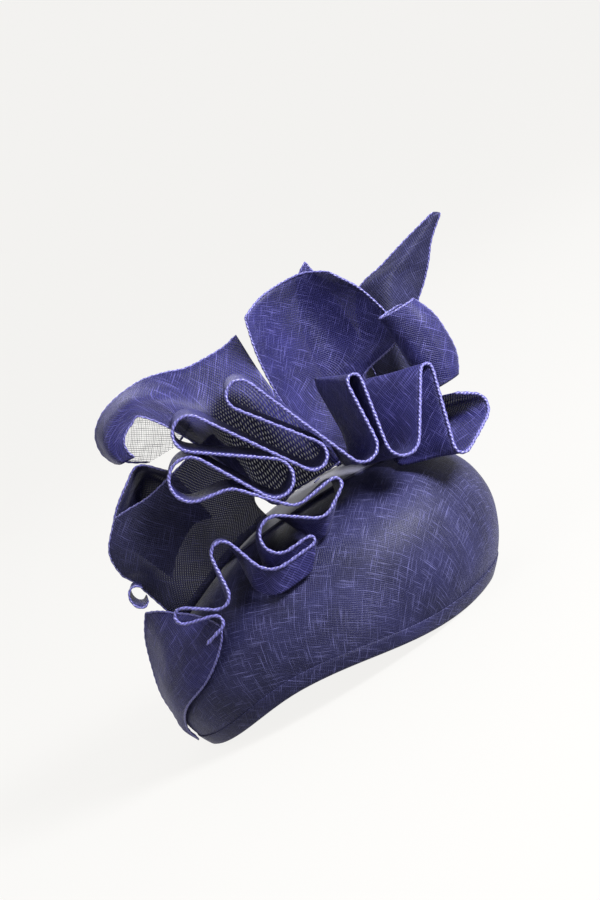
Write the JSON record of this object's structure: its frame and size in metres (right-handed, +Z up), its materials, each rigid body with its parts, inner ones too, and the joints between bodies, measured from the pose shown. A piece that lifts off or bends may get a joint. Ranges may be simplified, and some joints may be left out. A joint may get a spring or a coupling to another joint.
{
  "type": "fascinator headpiece",
  "caption": "Oval percher cap in stiff open-weave straw cloth, with a fluted ruffle, standing leaves, a roll and a sheer loop sewn on one side, and a comb inside.",
  "frame": {"origin": "middle of the head opening, level with the lowest point of the rim", "axes": "+X to the rounded back of the cap, +Z up, -Y towards the trimmed side"},
  "size_m": [0.2787, 0.17, 0.2035],
  "materials": {
    "cap_cloth": "fine open-weave straw cloth, stiffened, slight sheen",
    "lining_cloth": "open-weave straw cloth, matt",
    "binding_cloth": "folded bias strip of straw cloth",
    "covered_wire": "thread-covered millinery wire",
    "ribbon": "corded ribbon, matt",
    "thread": "sewing thread",
    "comb_plastic": "polished",
    "patch_cloth": "stiff open-weave straw cloth",
    "trim_cloth": "open-weave straw cloth on the bias, lilac sheen on the folds",
    "sheer_cloth": "one layer of open-weave straw cloth, see-through"
  },
  "bodies": {
    "root": {"back_leaf_tip": "trim_cloth", "back_roll": "trim_cloth", "comb": "comb_plastic", "comb_stitches": "thread", "crown_inner": "lining_cloth", "crown_outer": "cap_cloth", "front_leaf": "trim_cloth", "head_ribbon": "ribbon", "lower_loop": "trim_cloth", "ribbon_stitches": "thread", "rim_binding": "binding_cloth", "rim_wire": "covered_wire", "ruffle_strip": "trim_cloth", "side_loop": "sheer_cloth", "small_curl": "trim_cloth", "spire_leaf": "trim_cloth", "top_leaf": "trim_cloth", "trim_base": "patch_cloth", "trim_tacks": "thread", "under_panel": "trim_cloth", "upper_band": "trim_cloth"}
  },
  "joints": []
}
